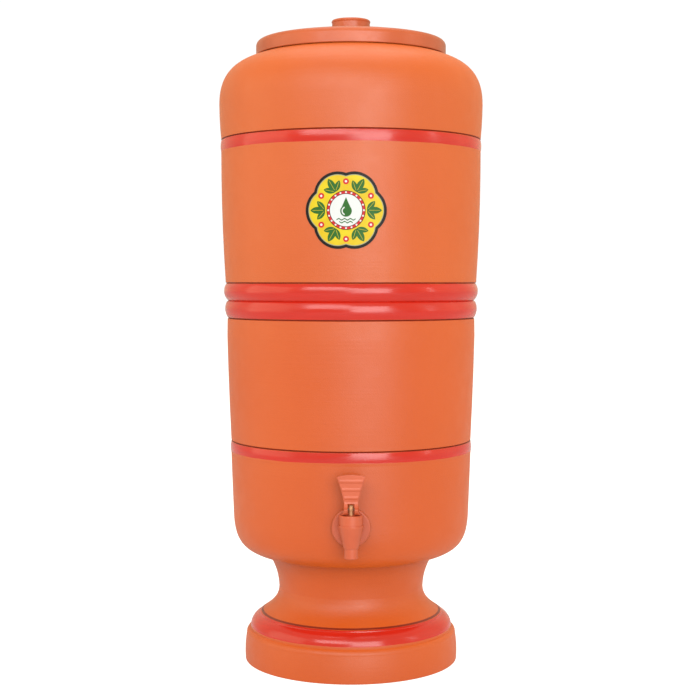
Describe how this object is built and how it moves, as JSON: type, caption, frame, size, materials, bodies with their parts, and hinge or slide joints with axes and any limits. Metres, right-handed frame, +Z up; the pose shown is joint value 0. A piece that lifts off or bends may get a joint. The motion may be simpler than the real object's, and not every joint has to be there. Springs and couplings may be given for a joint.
{
  "type": "gravity water filter",
  "caption": "Two-chamber fired clay gravity water filter on a pedestal foot, with a lift-off lid, ceramic filter candles, float valves and a lever tap at the front.",
  "frame": {"origin": "on the vessels' axis, in the plane of the foot ring's sole", "axes": "+Z up along the vessels' axis, -Y towards the tap and the front, +X to the right in a view of the front"},
  "size_m": [0.246, 0.2599, 0.601],
  "materials": {
    "fired_clay": "matte unglazed terracotta with glossy red painted bands",
    "lid_plastic": "satin terracotta-coloured plastic",
    "label_film": null,
    "tap_plastic": "satin reddish brown plastic",
    "black_rubber": "matte black rubber",
    "silicone": "translucent white silicone",
    "spring_steel": "drawn stainless wire",
    "stem_brass": "turned brass",
    "candle_ceramic": "porous off-white ceramic",
    "candle_plastic": "satin blue plastic",
    "white_plastic": "satin white plastic",
    "float_plastic": "satin natural plastic"
  },
  "bodies": {
    "lower_vessel": {"lower_chamber": "fired_clay", "tap_body": "tap_plastic", "tap_outer_washer": "black_rubber", "tap_inner_washer": "black_rubber", "tap_back_nut": "tap_plastic", "tap_bonnet": "tap_plastic"},
    "upper_vessel": {"upper_chamber": "fired_clay", "front_label": "label_film", "candle_ceramic_1": "candle_ceramic", "candle_base_1": "candle_plastic", "candle_washer_1": "black_rubber", "candle_under_washer_1": "black_rubber", "candle_wing_nut_1": "white_plastic", "float_cage_1": "white_plastic", "candle_ceramic_2": "candle_ceramic", "candle_base_2": "candle_plastic", "candle_washer_2": "black_rubber", "candle_under_washer_2": "black_rubber", "candle_wing_nut_2": "white_plastic", "float_cage_2": "white_plastic"},
    "lid": {"lid": "lid_plastic"},
    "valve": {"tap_stem": "stem_brass", "tap_seat_cup": "silicone", "tap_spring": "spring_steel"},
    "lever": {"tap_lever": "tap_plastic", "tap_lever_pin": "spring_steel"},
    "float_valve_1": {"float_1": "float_plastic", "float_seal_1": "silicone"},
    "float_valve_2": {"float_2": "float_plastic", "float_seal_2": "silicone"}
  },
  "joints": [
    {"name": "upper_vessel_lift", "type": "slide", "parent": "lower_vessel", "child": "upper_vessel", "axis": [0, 0, 1], "range_m": [0, 0.12]},
    {"name": "lid_lift", "type": "slide", "parent": "upper_vessel", "child": "lid", "axis": [0, 0, 1], "range_m": [0, 0.1]},
    {"name": "stem_lift", "type": "slide", "parent": "lower_vessel", "child": "valve", "axis": [0, 0, 1], "range_m": [0, 0.00349], "deforming": ["tap_spring", "tap_seat_cup"]},
    {"name": "lever_tilt", "type": "hinge", "parent": "valve", "child": "lever", "pos_m": [0, -0.1259, 0.16095], "axis": [1, 0, 0], "range_deg": [0, 80], "stiffness_Nm_per_rad": 0.03, "springref_deg": -28.65},
    {"name": "float_1_rise", "type": "slide", "parent": "upper_vessel", "child": "float_valve_1", "axis": [0, 0, 1], "range_m": [0, 0.008]},
    {"name": "float_2_rise", "type": "slide", "parent": "upper_vessel", "child": "float_valve_2", "axis": [0, 0, 1], "range_m": [0, 0.008]}
  ],
  "couplings": [
    {"joint": "lever_tilt", "follows": "stem_lift", "rad_per_m": 400}
  ]
}
